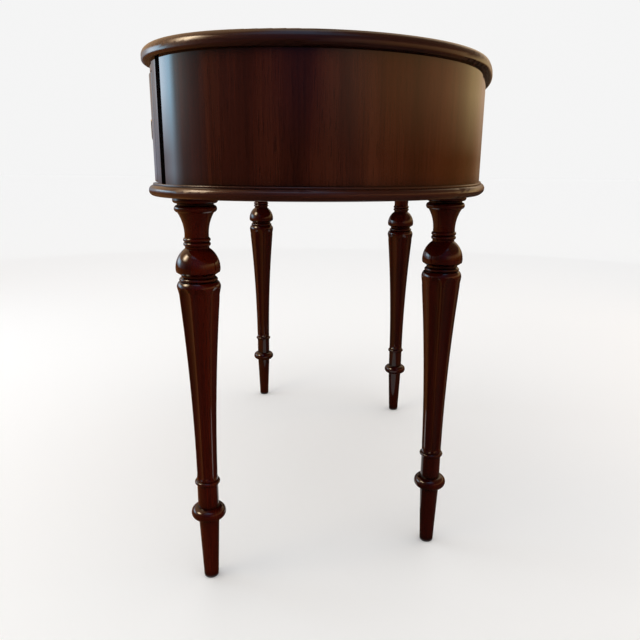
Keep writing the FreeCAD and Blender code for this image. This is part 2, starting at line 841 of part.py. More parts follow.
def case():
    """The fixed carcass, with its paired pieces named right and left."""
    nodes = {
        "top_board": top_board(),
        "base_board": base_board(),
        "back_panel": back_panel(),
        "front_top_rail": front_top_rail(),
        "drawer_guides": drawer_guides(),
        "drawer_kickers": drawer_kickers(),
        "drawer_stops": drawer_stops(),
        "top_glue_blocks": top_glue_blocks(),
        "top_screws": top_screws(),
    }
    pairs = {
        "end_panel": end_panel(),
        "corner_stile": corner_stile(),
        "divider_stile": divider_stile(),
        "partition": partition(),
    }
    for name, shape in pairs.items():
        nodes["right_" + name] = shape
        nodes["left_" + name] = mirrored(shape)
    return nodes


def main():
    os.makedirs("parts", exist_ok=True)
    nodes = {**case(), **legs(), **drawers()}
    for name, shape in nodes.items():
        shape.exportStep("parts/" + name + ".step")


main()
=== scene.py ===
import json
import math

import bpy
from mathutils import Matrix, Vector, geometry, kdtree

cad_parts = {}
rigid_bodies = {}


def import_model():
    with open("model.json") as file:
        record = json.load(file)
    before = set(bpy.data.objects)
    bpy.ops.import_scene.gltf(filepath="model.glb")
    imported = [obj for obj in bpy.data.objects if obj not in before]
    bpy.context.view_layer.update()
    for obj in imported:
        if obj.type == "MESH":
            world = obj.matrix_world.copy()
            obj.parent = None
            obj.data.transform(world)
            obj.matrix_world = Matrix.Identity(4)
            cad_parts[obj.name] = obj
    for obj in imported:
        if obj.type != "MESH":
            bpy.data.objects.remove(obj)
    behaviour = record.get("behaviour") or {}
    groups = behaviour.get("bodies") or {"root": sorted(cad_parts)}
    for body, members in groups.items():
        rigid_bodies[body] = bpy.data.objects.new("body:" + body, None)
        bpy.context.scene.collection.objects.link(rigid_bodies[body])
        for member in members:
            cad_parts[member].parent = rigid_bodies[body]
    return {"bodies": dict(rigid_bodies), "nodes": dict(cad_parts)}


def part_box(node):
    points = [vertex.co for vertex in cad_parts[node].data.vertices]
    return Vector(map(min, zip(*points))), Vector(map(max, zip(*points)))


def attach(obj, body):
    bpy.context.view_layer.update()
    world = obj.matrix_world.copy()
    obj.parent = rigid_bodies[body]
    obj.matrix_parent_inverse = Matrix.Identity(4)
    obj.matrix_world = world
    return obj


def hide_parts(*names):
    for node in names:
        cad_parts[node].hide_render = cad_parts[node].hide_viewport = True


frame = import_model()

bl_info = {
    "name": "Kidney Desk Finisher",
    "version": (1, 0, 0),
    "blender": (4, 5, 0),
    "location": "View3D > Sidebar > Desk",
    "description": "Polishes a kidney-shaped desk in mahogany and brass and sets it in a studio",
    "category": "Object",
}

SIDES = ("right", "centre", "left")
ENDS = ("right", "left")
CASE = "case"


def tone(title, note, default):
    """A colour that a user may change."""
    return bpy.props.FloatVectorProperty(
        name=title, description=note, subtype="COLOR", size=3, min=0, max=1, default=default)


def share(title, note, default):
    """A factor from nought to one."""
    return bpy.props.FloatProperty(
        name=title, description=note, subtype="FACTOR", min=0, max=1, default=default)


def length(title, note, default):
    """A size in metres."""
    return bpy.props.FloatProperty(
        name=title, description=note, subtype="DISTANCE", unit="LENGTH", min=0.0001, max=1, default=default)


def power(title, note, default):
    """A lamp's power in watts."""
    return bpy.props.FloatProperty(
        name=title, description=note, subtype="POWER", unit="POWER", min=0, default=default)


class MahoganySettings(bpy.types.PropertyGroup):
    """Tones, figure and gloss of the polished mahogany."""

    dark_tone: tone("Dark tone", "Darkest bands of the mahogany", (0.0170, 0.0028, 0.0013))
    middle_tone: tone("Middle tone", "Body colour of the mahogany", (0.0285, 0.0048, 0.0022))
    light_tone: tone("Light tone", "Palest streaks of the mahogany", (0.0470, 0.0098, 0.0040))
    # Painted shade in the recess beside the drawers, and the real tone of the top's dark stringing
    recess_shade_and_stringing_tone: tone("Recess tone", "Blackened wood beside the drawers", (0.0040, 0.0028, 0.0026))
    leg_stain: tone("Leg stain", "How far a redder stain filters the turned legs", (1.0, 0.33, 0.14))
    # Old wax and painted shade in the creases: the occlusion darkening below stands in for shade that falls
    # there
    wax_and_crease_shade: tone("Wax shade", "How far old wax darkens the creases", (0.10, 0.07, 0.06))
    wax_and_crease_shade_reach: length("Wax reach", "How far from a crease the old wax shows", 0.016)
    # Painted shade: wood that faces down is made darker, standing in for the shade under things
    painted_under_shade: tone("Under shade", "How much darker the wood stays where it faces down", (0.42, 0.36, 0.36))
    wood_roughness: share("Wood roughness", "Roughness of the wood under the polish", 0.45)
    polish_roughness: share("Polish roughness", "Roughness of the polish itself", 0.085)
    edge_roughness: share("Edge roughness", "Roughness of the polish on the rubbed mouldings", 0.20)
    worn_edge: length("Worn edge", "How far rubbing has rounded the upper edge of the base", 0.0013)
    band_pitch: length("Band pitch", "Usual width of the broad light and dark bands", 0.045)
    fibre_pitch: length("Fibre pitch", "Usual width of the fine streaks", 0.0034)
    pore_pitch: length("Pore pitch", "Usual spacing of the dark pores", 0.0011)


class InsideSettings(bpy.types.PropertyGroup):
    """Tones of the plain wood inside the drawers and the case."""

    dark_tone: tone("Dark tone", "Late wood between the year rings", (0.255, 0.140, 0.066))
    light_tone: tone("Light tone", "Early wood of the year rings", (0.430, 0.275, 0.150))
    ring_pitch: length("Ring pitch", "Usual width of a year ring on the face", 0.009)


class MetalSettings(bpy.types.PropertyGroup):
    """Tones of the brass pulls and the steel screws."""

    brass_tone: tone("Brass tone", "Rubbed parts of the brass", (0.42, 0.27, 0.105))
    patina_tone: tone("Patina tone", "Darkened parts of the brass", (0.085, 0.050, 0.024))
    steel_tone: tone("Steel tone", "Plain steel of screws and nuts", (0.40, 0.39, 0.38))


class TopSettings(bpy.types.PropertyGroup):
    """Widths of the veneer border of the top."""

    crossband_width: length("Crossband width", "Width of the border whose grain runs across", 0.040)
    line_width: length("Line width", "Width of the dark line inside the border", 0.0022)


class LegSettings(bpy.types.PropertyGroup):
    """Width, depth and reach of the flutes of a leg."""

    flute_half_angle: bpy.props.FloatProperty(
        name="Flute half angle", description="Half the angle that a flute takes up on the shaft",
        subtype="ANGLE", unit="ROTATION", min=0.1, max=0.39, default=math.radians(20.3))
    flute_depth: share("Flute depth", "Depth of a flute as a share of the shaft's radius", 0.15)
    flute_lift: length("Flute lift", "Height of a flute's round foot above the shaft's foot", 0.009)
    flute_drop: length("Flute drop", "Depth of a flute's round head below the shaft's head", 0.009)


class StageSettings(bpy.types.PropertyGroup):
    """The studio: floor, surround, sky, lamps and camera."""

    camera_place: bpy.props.FloatVectorProperty(
        name="Camera place", description="Where the camera stands, at the desk's right end",
        subtype="TRANSLATION", unit="LENGTH", size=3, default=(1.2834, -0.0102, 0.6246))
    camera_turn: bpy.props.FloatVectorProperty(
        name="Camera turn", description="How the camera is turned",
        subtype="EULER", unit="ROTATION", size=3,
        default=(math.radians(74.404), math.radians(-0.392), math.radians(90.963)))
    lens: bpy.props.FloatProperty(
        name="Lens", description="Focal length on a 36 mm sensor",
        subtype="DISTANCE_CAMERA", unit="CAMERA", min=1, default=36.0)
    view_lift: bpy.props.FloatProperty(
        name="View lift", description="Vertical shift of the frame", default=0.0342)
    floor_tone: tone("Floor tone", "Colour of the pale floor", (0.96, 0.96, 0.96))
    # Painted reflection: the dark round darkens what the polish mirrors
    surround_tone: tone(
        "Surround tone", "Colour of the dark round that the polish mirrors", (0.020, 0.013, 0.009))
    sky_tone: tone("Sky tone", "Colour of the even light from above", (0.95, 0.95, 0.95))
    backdrop_tone: tone(
        "Backdrop tone", "Colour of the sky as it is seen, level with the floor", (0.91, 0.91, 0.91))
    window_power: power("Window power", "Power of the cool window lamp", 7.5)
    hearth_power: power("Hearth power", "Power of the warm lamp behind the desk", 5.0)
    lantern_power: power("Lantern power", "Power of the small warm lamp above the drawers", 5.5)


class DeskSettings(bpy.types.PropertyGroup):
    """Everything that a user would change."""

    mahogany: bpy.props.PointerProperty(type=MahoganySettings)
    inside: bpy.props.PointerProperty(type=InsideSettings)
    metal: bpy.props.PointerProperty(type=MetalSettings)
    top: bpy.props.PointerProperty(type=TopSettings)
    legs: bpy.props.PointerProperty(type=LegSettings)
    stage: bpy.props.PointerProperty(type=StageSettings)


class Nodes:
    """A node tree, with short calls to add nodes and join them."""

    def __init__(self, tree):
        self.tree = tree

    def add(self, kind, **settings):
        node = self.tree.nodes.new("ShaderNode" + kind)
        for name, value in settings.items():
            setattr(node, name, value)
        return node

    def feed(self, socket, value):
        """Sets a socket to a number or joins another socket to it."""
        if isinstance(value, (int, float, tuple)):
            socket.default_value = value
        else:
            self.tree.links.new(value, socket)

    def feed_all(self, node, **values):
        """Feeds a node's sockets, named with underscores for spaces."""
        for name, value in values.items():
            self.feed(node.inputs[name.replace("_", " ")], value)

    def math(self, operation, first, second):
        node = self.add("Math", operation=operation)
        self.feed(node.inputs[0], first)
        self.feed(node.inputs[1], second)
        return node.outputs[0]

    def weighed(self, first, weight, second):
        """Two patterns in one, the first with a share of the weight and the second with the rest."""
        rest = self.math("MULTIPLY", second, 1 - weight)
        return self.math("ADD", self.math("MULTIPLY", first, weight), rest)

    def spread(self, source, **limits):
        """Maps a range of values onto another, each nought to one unless the limits say otherwise."""
        node = self.add("MapRange")
        self.feed_all(node, Value=source, **limits)
        return node.outputs["Result"]

    def mapped(self, source, location=(0.0, 0.0, 0.0), rotation=(0.0, 0.0, 0.0), scale=(1.0, 1.0, 1.0)):
        node = self.add("Mapping")
        self.feed_all(node, Vector=source, Location=location, Rotation=rotation, Scale=scale)
        return node.outputs["Vector"]

    def parts(self, vector):
        """The X, Y and Z of a vector."""
        node = self.add("SeparateXYZ")
        self.feed(node.inputs[0], vector)
        return node.outputs

    def streaks(self, source, across, stretch, detail, distortion=0.0):
        """Noise that is narrow across the grain, which runs along Z, and long along it."""
        node = self.add("TexNoise")
        place = self.mapped(source, scale=(1 / across, 1 / across, 1 / (across * stretch)))
        self.feed_all(node, Vector=place, Scale=1.0, Detail=detail, Distortion=distortion)
        return node.outputs["Fac"]

    def ramp(self, source, stops):
        """Colour ramp through (place, colour) stops."""
        node = self.add("ValToRGB")
        elements = node.color_ramp.elements
        while len(elements) < len(stops):
            elements.new(1.0)
        for element, (place, colour) in zip(elements, stops):
            element.position = place
            element.color = (*colour, 1.0)
        self.feed(node.inputs["Fac"], source)
        return node.outputs["Color"]

    def blend(self, kind, first, second, amount):
        node = self.add("Mix", data_type="RGBA", blend_type=kind)
        for index, value in ((0, amount), (6, first), (7, second)):
            self.feed(node.inputs[index], value)
        return node.outputs[2]

    def shaded(self, colour, shade, amount=1.0):
        """A colour multiplied by a shade."""
        return self.blend("MULTIPLY", colour, shade, amount)

    def dented(self, height, strength, depth):
        """Normal of a surface dented by a height pattern."""
        node = self.add("Bump")
        self.feed_all(node, Height=height, Strength=strength, Distance=depth)
        return node.outputs["Normal"]


class Shader(Nodes):
    """The node tree of a new material."""

    def __init__(self, name):
        self.material = bpy.data.materials.new(name)
        self.material.use_nodes = True
        super().__init__(self.material.node_tree)
        self.surface = self.tree.nodes["Principled BSDF"]

    def set(self, **values):
        """Values on the surface's own sockets."""
        self.feed_all(self.surface, **values)

    def place(self):
        """Where a point of the piece lies, in metres."""
        return self.add("TexCoord").outputs["Object"]


UPRIGHT = (0.0, 0.0, 0.0)
LENGTHWAYS = (0.0, math.radians(90), 0.0)
FRONT_TO_BACK = (math.radians(90), 0.0, 0.0)
IN_PLAN = (1.0, 1.0, 0.0)
WHITE = (1.0, 1.0, 1.0)
GRAIN = "grain"

# Shades of the darker clouds and the pores of the mahogany, and how many bands a cloud is wide
CLOUD_SHADE = (0.72, 0.68, 0.66)
PORE_SHADE = (0.30, 0.26, 0.25)
CLOUD_BANDS = 3
# Usual width of the slight waves in the polish, and how strongly the polish bends light
WAVE_PITCH = 0.03
POLISH_IOR = 1.45
# Usual widths of the patina, the casting's specks and the bloom of the metals
PATINA_PITCH = 0.006
SPECK_PITCH = 0.0009
BLOOM_PITCH = 0.003
# How dark the steel is under its bloom, and how pale the fibres of the dark line are
STEEL_SHADE = 0.45
LINE_LIGHT = 2.5


def straight_grain(turn, offset=0.0):
    """Place in a straight board, turned so that the grain runs along Z, and shifted to vary the figure."""
    def build(shader):
        return shader.mapped(shader.place(), location=(offset, offset, offset), rotation=turn)
    return build


def edge_grain(across=False):
    """Place along the moulded edge, so that the grain follows it or runs across it."""
    def build(shader):
        coordinates = shader.add("Attribute", attribute_name=GRAIN).outputs["Vector"]
        return shader.mapped(coordinates, rotation=LENGTHWAYS) if across else coordinates
    return build


def polish(shader, wood, roughness):
    """A clear glossy coat over wood that has no gloss of its own."""
    shader.set(Roughness=wood.wood_roughness, Specular_IOR_Level=0.0,
               Coat_Weight=1.0, Coat_Roughness=roughness, Coat_IOR=POLISH_IOR)


def mahogany(name, wood, grain, shaded_recess=None, stain=WHITE, rubbed=False):
    """Polished mahogany: bands, fibres and pores, old wax with painted shade in the creases, painted shade
    where it faces down and in a given recess.
    """
    shader = Shader(name)
    at = grain(shader)
    bands = shader.streaks(at, wood.band_pitch, stretch=12.0, detail=2.0, distortion=0.5)
    fibres = shader.streaks(at, wood.fibre_pitch, stretch=60.0, detail=4.0)
    pores = shader.streaks(at, wood.pore_pitch, stretch=22.0, detail=1.0)
    clouds = shader.streaks(at, wood.band_pitch * CLOUD_BANDS, stretch=1.6, detail=2.0)
    waves = shader.streaks(at, WAVE_PITCH, stretch=2.5, detail=1.0)
    figure = shader.weighed(bands, 0.72, fibres)
    colour = shader.ramp(figure, [(0.36, wood.dark_tone), (0.50, wood.middle_tone), (0.66, wood.light_tone)])
    colour = shader.shaded(colour, shader.ramp(clouds, [(0.35, CLOUD_SHADE), (0.62, WHITE)]))
    colour = shader.shaded(colour, shader.ramp(pores, [(0.33, PORE_SHADE), (0.42, WHITE)]), 0.5)
    # Painted shade in the creases, partly real old wax: darker where ambient occlusion finds a crease
    creases = shader.add("AmbientOcclusion", samples=6)
    shader.feed_all(creases, Distance=wood.wax_and_crease_shade_reach)
    wax_and_crease_shade_colour = shader.ramp(creases.outputs["AO"], [(0.50, wood.wax_and_crease_shade), (0.96, WHITE)])
    colour = shader.shaded(colour, wax_and_crease_shade_colour)
    # Painted shade: the colour darkens as the face turns down
    facing = shader.parts(shader.add("NewGeometry").outputs["Normal"])
    upward = shader.spread(facing["Z"], From_Min=-1.0)
    colour = shader.shaded(colour, shader.ramp(upward, [(0.05, wood.painted_under_shade), (0.52, WHITE)]))
    if stain != WHITE:
        colour = shader.shaded(colour, (*stain, 1.0))
    # Painted shade in the recess beside the drawers
    if shaded_recess is not None:
        colour = painted_recess_shade(shader, colour, wood, *shaded_recess)
    shader.set(Base_Color=colour,
               Normal=shader.dented(fibres, strength=0.12, depth=0.0002),
               Coat_Normal=shader.dented(waves, strength=0.10, depth=0.0006))
    polish(shader, wood, wood.edge_roughness if rubbed else wood.polish_roughness)
    return shader.material


def painted_recess_shade(shader, colour, wood, centre_x, centre_y, radius):
    """Paints shade into a recess: blackens what lies nearer than a radius to an upright axis."""
    reach = shader.add("VectorMath", operation="DISTANCE")
    shader.feed(reach.inputs[0], shader.mapped(shader.place(), scale=IN_PLAN))
    shader.feed(reach.inputs[1], (centre_x, centre_y, 0.0))
    inside = shader.math("LESS_THAN", reach.outputs["Value"], radius)
    return shader.blend("MIX", colour, (*wood.recess_shade_and_stringing_tone, 1.0), inside)


def dark_line(name, wood):
    """Blackened stringing under the same polish."""
    shader = Shader(name)
    fibres = shader.streaks(edge_grain()(shader), wood.fibre_pitch / 3, stretch=60.0, detail=2.0)
    pale = tuple(LINE_LIGHT * part for part in wood.recess_shade_and_stringing_tone)
    shader.set(Base_Color=shader.ramp(fibres, [(0.4, wood.recess_shade_and_stringing_tone), (0.65, pale)]))
    polish(shader, wood, wood.polish_roughness)
    return shader.material


def inside_wood(name, wood, turn, offset=0.0):
    """Plain planed wood with year rings, for what stays hidden behind the fronts."""
    shader = Shader(name)
    at = straight_grain(turn, offset)(shader)
    rings = shader.streaks(at, wood.ring_pitch, stretch=22.0, detail=3.0, distortion=0.8)
    fibres = shader.streaks(at, wood.ring_pitch / 9, stretch=70.0, detail=2.0)
    figure = shader.weighed(rings, 0.7, fibres)
    shader.set(Base_Color=shader.ramp(figure, [(0.38, wood.dark_tone), (0.60, wood.light_tone)]),
               Roughness=shader.spread(fibres, To_Min=0.46, To_Max=0.66),
               Normal=shader.dented(fibres, strength=0.2, depth=0.0003))
    return shader.material


def aged_brass(name, metal):
    """Cast brass: bright where fingers rub it, brown where they don't."""
    shader = Shader(name)
    at = shader.place()
    clouds = shader.streaks(at, PATINA_PITCH, stretch=1.0, detail=4.0)
    specks = shader.streaks(at, SPECK_PITCH, stretch=1.0, detail=2.0)
    shader.set(Base_Color=shader.ramp(clouds, [(0.38, metal.patina_tone), (0.66, metal.brass_tone)]),
               Metallic=1.0, Roughness=shader.spread(clouds, To_Min=0.50, To_Max=0.24),
               Normal=shader.dented(specks, strength=0.15, depth=0.0001))
    return shader.material


def plain_steel(name, metal):
    """Steel with a dull bloom."""
    shader = Shader(name)
    bloom = shader.streaks(shader.place(), BLOOM_PITCH, stretch=1.0, detail=4.0)
    dark = tuple(STEEL_SHADE * part for part in metal.steel_tone)
    shader.set(Base_Color=shader.ramp(bloom, [(0.38, dark), (0.60, metal.steel_tone)]),
               Metallic=1.0, Roughness=shader.spread(bloom, To_Min=0.55, To_Max=0.32))
    return shader.material


def dress(node, material):
    """Gives a CAD node its finish."""
    frame["nodes"][node].data.materials[0] = material


# Least upright part of the normal of a level face, and how far off its level such a face may lie
LEVEL = 0.999
LEVEL_SLACK = 0.0002
# How near the corners of loose triangles, and of a leg that has been cut, lie when they are one
LOOSE_REACH = 0.000004
CUT_REACH = 0.00001
# How far two triangles of a moulding may lean to each other and differ in shape to make one quad
QUAD_LEAN = math.radians(20)
QUAD_SKEW = math.radians(40)
# Sharpest turn between two faces that still looks smooth
SMOOTH_TURN = math.radians(30)


def select_only(piece):
    bpy.ops.object.select_all(action="DESELECT")
    piece.select_set(True)
    bpy.context.view_layer.objects.active = piece


def copied_piece(source, name):
    """A new piece with its own copy of another's mesh, ready to be reworked in its place."""
    piece = bpy.data.objects.new(name, source.data.copy())
    bpy.context.collection.objects.link(piece)
    select_only(piece)
    return piece


def merged_copy(node, name):
    """A copy of a CAD node with its loose triangles merged."""
    piece = copied_piece(frame["nodes"][node], name)
    piece.data.materials.clear()
    bpy.ops.object.mode_set(mode="EDIT")
    bpy.ops.mesh.select_all(action="SELECT")
    bpy.ops.mesh.remove_doubles(threshold=LOOSE_REACH)
    bpy.ops.mesh.customdata_custom_splitnormals_clear()
    bpy.ops.object.mode_set(mode="OBJECT")
    return piece


def upper_side(piece):
    """A test for the level faces at the very top of a piece."""
    high = max(vertex.co.z for vertex in piece.data.vertices)

    def holds(face):
        return face.normal.z > LEVEL and abs(face.center.z - high) < LEVEL_SLACK
    return holds


def largest_face(piece, wanted):
    return max(piece.data.polygons, key=lambda face: face.area if wanted(face) else 0.0)


def pick_faces(piece, wanted):
    """Selects, from object mode, the faces for which a test holds."""
    for group in (piece.data.vertices, piece.data.edges):
        group.foreach_set("select", [False] * len(group))
    for face in piece.data.polygons:
        face.select = wanted(face)


def veneer_faces(piece, finish, wanted):
    """Gives the faces for which a test holds one of the piece's own finishes."""
    index = piece.data.materials.find(finish.name)
    for face in piece.data.polygons:
        if wanted(face):
            face.material_index = index


def pair_triangles(piece):
    """Joins the triangles of a moulding into quads where they lie nearly flat."""
    pick_faces(piece, lambda face: abs(face.normal.z) < LEVEL)
    bpy.ops.object.mode_set(mode="EDIT")
    bpy.ops.mesh.tris_convert_to_quads(face_threshold=QUAD_LEAN, shape_threshold=QUAD_SKEW)
    bpy.ops.object.mode_set(mode="OBJECT")


def smooth_moulding(piece):
    """Shades a moulding smoothly between its sharp edges, led by its larger faces."""
    select_only(piece)
    bpy.ops.object.shade_smooth_by_angle(angle=SMOOTH_TURN)
    even = piece.modifiers.new("even_shading", "WEIGHTED_NORMAL")
    even.mode = "FACE_AREA"
    even.keep_sharp = True
    bpy.ops.object.modifier_apply(modifier=even.name)


def put_in_place(piece, node):
    """The piece stands for the CAD node, which it hides, and moves with the case."""
    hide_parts(node)
    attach(piece, CASE)


class Border:
    """The line round the flat of the top, to measure along the moulded edges."""

    def __init__(self, points):
        self.points = [Vector((point.x, point.y)) for point in points]
        self.starts = [0.0]
        for here, there in zip(self.points, self.points[1:] + self.points[:1]):
            self.starts.append(self.starts[-1] + (there - here).length)
        self.whole = self.starts[-1]
        self.tree = kdtree.KDTree(len(self.points))
        for index, point in enumerate(self.points):
            self.tree.insert(point.to_3d(), index)
        self.tree.balance()

    def measure(self, place):
        """Distance along the line, and off it, of the point nearest to a place."""
        spot = Vector((place.x, place.y))
        nearest = self.tree.find(spot.to_3d())[1]
        best = None
        for first in (nearest - 1, nearest):
            here = self.points[first]
            there = self.points[(first + 1) % len(self.points)]
            part = geometry.intersect_point_line(spot, here, there)[1]
            part = min(max(part, 0.0), 1.0)
            gap = (spot - here.lerp(there, part)).length
            along = self.starts[first % len(self.points)] + part * (there - here).length
            if best is None or gap < best[1]:
                best = (along, gap)
        return best

    def run_grain(self, piece):
        """Stores across, height and along on every face corner, for the grain to follow the edge."""
        mesh = piece.data
        places = [(*self.measure(vertex.co), vertex.co.z) for vertex in mesh.vertices]
        grain = mesh.attributes.new(GRAIN, "FLOAT_VECTOR", "CORNER")
        for face in mesh.polygons:
            runs = [places[index][0] for index in face.vertices]
            split = max(runs) - min(runs) > self.whole / 2
            for corner, index in zip(face.loop_indices, face.vertices):
                along, gap, height = places[index]
                if split and along < self.whole / 2:
                    along += self.whole
                grain.data[corner].vector = (gap, height, along)


# The top's border, kept because the grain of the base's moulding runs along it too
edge_line = {}


class DESK_OT_finish_top(bpy.types.Operator):
    """Veneers the top: a middle, a dark line, a crossbanded border and a moulded edge"""

    bl_idname = "desk.finish_top"
    bl_label = "Finish top"

    def execute(self, context):
        settings = context.scene.kidney_desk
        wood = settings.mahogany
        piece = merged_copy("top_board", "veneered_top")
        pair_triangles(piece)
        edge = mahogany("mahogany_top_edge", wood, edge_grain(), rubbed=True)
        under = mahogany("mahogany_top_under", wood, straight_grain(LENGTHWAYS))
        middle = mahogany("mahogany_top_middle", wood, straight_grain(LENGTHWAYS, 5.0))
        crossband = mahogany("mahogany_crossband", wood, edge_grain(across=True))
        line = dark_line("dark_stringing", wood)
        for finish in (edge, under, middle, crossband, line):
            piece.data.materials.append(finish)
        on_top = upper_side(piece)
        pick_faces(piece, on_top)
        bpy.ops.object.mode_set(mode="EDIT")
        bpy.ops.mesh.dissolve_faces()
        bpy.ops.object.mode_set(mode="OBJECT")
        flat = largest_face(piece, on_top)
        edge_line["top"] = Border([piece.data.vertices[index].co for index in flat.vertices])
        self.inset_flat(piece, on_top, settings.top.crossband_width, crossband)
        self.inset_flat(piece, on_top, settings.top.line_width, line)
        flat = largest_face(piece, on_top)
        veneer_faces(piece, middle, lambda face: face.index == flat.index)
        veneer_faces(piece, under, lambda face: face.normal.z < -LEVEL)
        edge_line["top"].run_grain(piece)
        smooth_moulding(piece)
        put_in_place(piece, "top_board")
        return {"FINISHED"}

    def inset_flat(self, piece, on_top, width, finish):
        """Insets the flat middle and gives the ring that this leaves a finish."""
        flat = largest_face(piece, on_top)
        veneer_faces(piece, finish, lambda face: face.index == flat.index)
        pick_faces(piece, lambda face: face.index == flat.index)
        bpy.ops.object.mode_set(mode="EDIT")
        bpy.ops.mesh.inset(thickness=width)
        bpy.ops.object.mode_set(mode="OBJECT")


WORN_EDGE_STEPS = 4


class DESK_OT_finish_base(bpy.types.Operator):
    """Polishes the base board, with the grain of its moulding following the edge"""

    bl_idname = "desk.finish_base"
    bl_label = "Finish base"

    def execute(self, context):
        wood = context.scene.kidney_desk.mahogany
        piece = merged_copy("base_board", "moulded_base")
        pair_triangles(piece)
        self.wear_edge(piece, wood.worn_edge)
        edge = mahogany("mahogany_base_edge", wood, edge_grain(), rubbed=True)
        flat = mahogany("mahogany_base_flat", wood, straight_grain(LENGTHWAYS, 7.0))
        for finish in (edge, flat):
            piece.data.materials.append(finish)
        veneer_faces(piece, flat, lambda face: abs(face.normal.z) > LEVEL)
        edge_line["top"].run_grain(piece)
        smooth_moulding(piece)
        put_in_place(piece, "base_board")
        return {"FINISHED"}

    def wear_edge(self, piece, radius):
        """Rounds the edge about the flat upper side."""
        pick_faces(piece, upper_side(piece))
        bpy.ops.object.mode_set(mode="EDIT")
        bpy.ops.mesh.region_to_loop()
        bpy.ops.mesh.bevel(offset=radius, segments=WORN_EDGE_STEPS, affect="EDGES")
        bpy.ops.mesh.select_mode(type="VERT")
        bpy.ops.object.mode_set(mode="OBJECT")


# Axis of the lobe that the corner stile is bent round, and a radius between its recess and its face, inside
# which the recess gets painted shade
STILE_AXIS = (0.3748, -0.0884)
RECESS_RADIUS = 0.1582


class DESK_OT_finish_case(bpy.types.Operator):
    """Polishes the curved panels, stiles and rail"""

    bl_idname = "desk.finish_case"
    bl_label = "Finish case"

    def execute(self, context):
        wood = context.scene.kidney_desk.mahogany
        for index, node in enumerate(("right_end_panel", "left_end_panel", "back_panel")):
            dress(node, mahogany("mahogany_" + node, wood, straight_grain(UPRIGHT, 2.0 * index)))
        dividers = mahogany("mahogany_dividers", wood, straight_grain(UPRIGHT, 9.0))
        for sign, end in zip((1, -1), ENDS):
            shaded_recess = (sign * STILE_AXIS[0], STILE_AXIS[1], RECESS_RADIUS)
            corner = mahogany("mahogany_" + end + "_corner", wood, straight_grain(UPRIGHT, 11.0), shaded_recess)
            dress(end + "_corner_stile", corner)
            dress(end + "_divider_stile", dividers)
        dress("front_top_rail", mahogany("mahogany_rail", wood, straight_grain(LENGTHWAYS, 13.0)))
        return {"FINISHED"}


# The leg that is cut and then copied, and how far in degrees each copy is turned about its axis
MODEL_LEG = "front_right_leg"
LEG_TURNS = (
    ("front_right_leg", 14.5),
    ("back_right_leg", 19.0),
    ("front_left_leg", -8.0),
    ("back_left_leg", 5.0),
)
# Heights of the hollow-tapered shaft's ends, and its radii at the foot, halfway up and at the head
SHAFT_FOOT = 0.1657
SHAFT_HEAD = 0.4560
SHAFT_RADII = (0.01575, 0.01960, 0.03005)
# How many flutes a leg has, and the rings and sides of the rod that cuts one, with how far its ends close
FLUTE_COUNT = 8
FLUTE_RINGS = 18
FLUTE_END_RINGS = 6
FLUTE_SIDES = 96
FLUTE_END_LEAN = math.radians(84)


